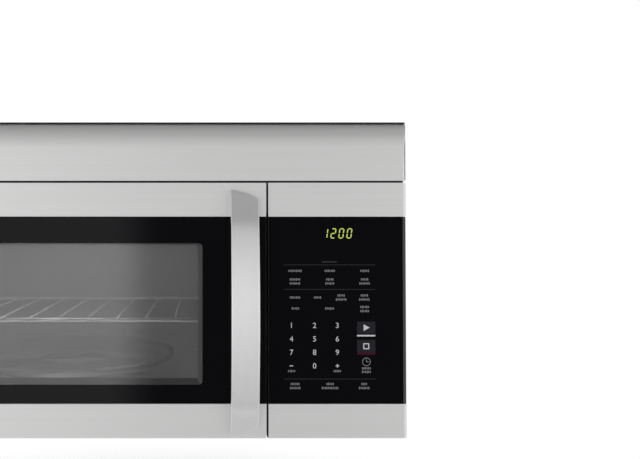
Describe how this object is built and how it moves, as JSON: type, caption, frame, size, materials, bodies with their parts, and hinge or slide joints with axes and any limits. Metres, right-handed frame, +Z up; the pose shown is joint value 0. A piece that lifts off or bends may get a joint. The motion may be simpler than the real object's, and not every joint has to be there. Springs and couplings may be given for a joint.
{
  "type": "over the range microwave",
  "caption": "Wall-hung microwave oven over a cooktop, with a side-hinged glass door, bowed handle, flush touch panel, turntable, rack and vent blower.",
  "frame": {"origin": "centre of the flat rear face that lies against the wall", "axes": "+Y points back into the wall, so the door faces -Y; +X is to the right seen from the front; +Z is up"},
  "size_m": [0.759, 0.437, 0.4414],
  "materials": {
    "stainless": "fine horizontal brushing, satin",
    "polished": "smooth satin, brighter than the strips",
    "black_glass": "back-printed black, polished face",
    "clear_glass": "clear",
    "black_plastic": "moulded, fine grain",
    "grey_plastic": "moulded",
    "case_paint": "dark powder paint",
    "cavity_paint": "light grey enamel paint",
    "screen_paint": "black paint on perforated sheet",
    "galvanised": "zinc-coated sheet",
    "aluminium": "bare, slightly dull",
    "chrome": "bright plated wire",
    "copper": "varnished windings on a laminated core",
    "mica": "pale mica sheet",
    "carbon": "black carbon mat",
    "board_green": "printed circuit board",
    "spring_steel": "drawn spring wire"
  },
  "bodies": {
    "cabinet": {"outer_case": "case_paint", "back_plate": "galvanised", "base_plate": "case_paint", "cooktop_lamp_lens": "clear_glass", "front_flange": "cavity_paint", "cavity_floor": "cavity_paint", "cavity_ceiling": "cavity_paint", "cavity_left_wall": "cavity_paint", "cavity_right_wall": "cavity_paint", "cavity_rear_wall": "cavity_paint", "waveguide_cover": "mica", "cooking_rack": "chrome", "cavity_lamp": "galvanised", "turntable_motor": "galvanised", "vent_panel": "stainless", "vent_grille": "black_plastic", "charcoal_filter": "carbon", "blower_housing": "galvanised", "blower_motor": "galvanised", "duct_adaptor": "galvanised", "chassis_shelf": "galvanised", "hv_transformer": "copper", "hv_capacitor": "aluminium", "magnetron": "aluminium", "fan_shroud": "grey_plastic", "control_housing": "black_plastic", "control_top_trim": "stainless", "control_bottom_trim": "stainless", "touch_panel": "black_glass", "display_module": "black_plastic", "control_board": "board_green", "latch_board": "grey_plastic", "interlock_switch_upper": "black_plastic", "interlock_switch_lower": "black_plastic", "lower_hinge": "galvanised", "upper_hinge": "galvanised"},
    "door": {"door_frame": "black_plastic", "door_top_trim": "stainless", "door_bottom_trim": "stainless", "door_glass": "black_glass", "door_choke": "cavity_paint", "choke_cover": "black_plastic", "window_screen": "screen_paint", "inner_glass": "clear_glass", "handle": "polished", "latch_spring": "spring_steel"},
    "latch": {"latch_hooks": "grey_plastic"},
    "turntable": {"drive_coupler": "grey_plastic", "glass_tray": "clear_glass"},
    "roller_ring": {"roller_ring": "grey_plastic"},
    "roller_1": {"roller_wheel_1": "grey_plastic"},
    "roller_2": {"roller_wheel_2": "grey_plastic"},
    "roller_3": {"roller_wheel_3": "grey_plastic"},
    "blower": {"blower_shaft": "galvanised", "blower_wheel_left": "black_plastic", "blower_wheel_right": "black_plastic"},
    "cooling_fan": {"cooling_fan": "grey_plastic"},
    "damper": {"damper_flap": "aluminium"},
    "grease_filter_left": {"grease_filter_left": "aluminium"},
    "grease_filter_right": {"grease_filter_right": "aluminium"}
  },
  "joints": [
    {"name": "door_swing", "type": "hinge", "parent": "cabinet", "child": "door", "pos_m": [-0.3715, -0.373, 0], "axis": [0, 0, -1], "range_deg": [0, 110]},
    {"name": "latch_slide", "type": "slide", "parent": "door", "child": "latch", "axis": [0, 0, 1], "range_m": [0, 0.005], "stiffness_N_per_m": 400, "springref_m": -0.004, "deforming": ["latch_spring"]},
    {"name": "turntable_spin", "type": "hinge", "parent": "cabinet", "child": "turntable", "pos_m": [-0.096, -0.185, 0], "axis": [0, 0, 1], "continuous": true},
    {"name": "roller_ring_spin", "type": "hinge", "parent": "cabinet", "child": "roller_ring", "pos_m": [-0.096, -0.185, 0], "axis": [0, 0, 1], "continuous": true},
    {"name": "roller_1_roll", "type": "hinge", "parent": "roller_ring", "child": "roller_1", "pos_m": [0.016, -0.185, -0.15335], "axis": [1, 0, 0], "continuous": true},
    {"name": "roller_2_roll", "type": "hinge", "parent": "roller_ring", "child": "roller_2", "pos_m": [-0.152, -0.08801, -0.15335], "axis": [-0.5, 0.866, 0], "continuous": true},
    {"name": "roller_3_roll", "type": "hinge", "parent": "roller_ring", "child": "roller_3", "pos_m": [-0.152, -0.28199, -0.15335], "axis": [-0.5, -0.866, 0], "continuous": true},
    {"name": "blower_spin", "type": "hinge", "parent": "cabinet", "child": "blower", "pos_m": [0, -0.0675, 0.14067], "axis": [1, 0, 0], "continuous": true},
    {"name": "cooling_fan_spin", "type": "hinge", "parent": "cabinet", "child": "cooling_fan", "pos_m": [0.27375, -0.078, -0.03075], "axis": [0, 1, 0], "continuous": true},
    {"name": "damper_lift", "type": "hinge", "parent": "cabinet", "child": "damper", "pos_m": [0, -0.03, 0.21675], "axis": [-1, 0, 0], "range_deg": [0, 80]},
    {"name": "grease_filter_left_slide", "type": "slide", "parent": "cabinet", "child": "grease_filter_left", "axis": [1, 0, 0], "range_m": [0, 0.012]},
    {"name": "grease_filter_right_slide", "type": "slide", "parent": "cabinet", "child": "grease_filter_right", "axis": [1, 0, 0], "range_m": [0, 0.012]}
  ],
  "couplings": [
    {"joint": "roller_ring_spin", "follows": "turntable_spin", "ratio": 0.5},
    {"joint": "roller_1_roll", "follows": "turntable_spin", "ratio": -6.2222},
    {"joint": "roller_2_roll", "follows": "turntable_spin", "ratio": -6.2222},
    {"joint": "roller_3_roll", "follows": "turntable_spin", "ratio": -6.2222}
  ]
}
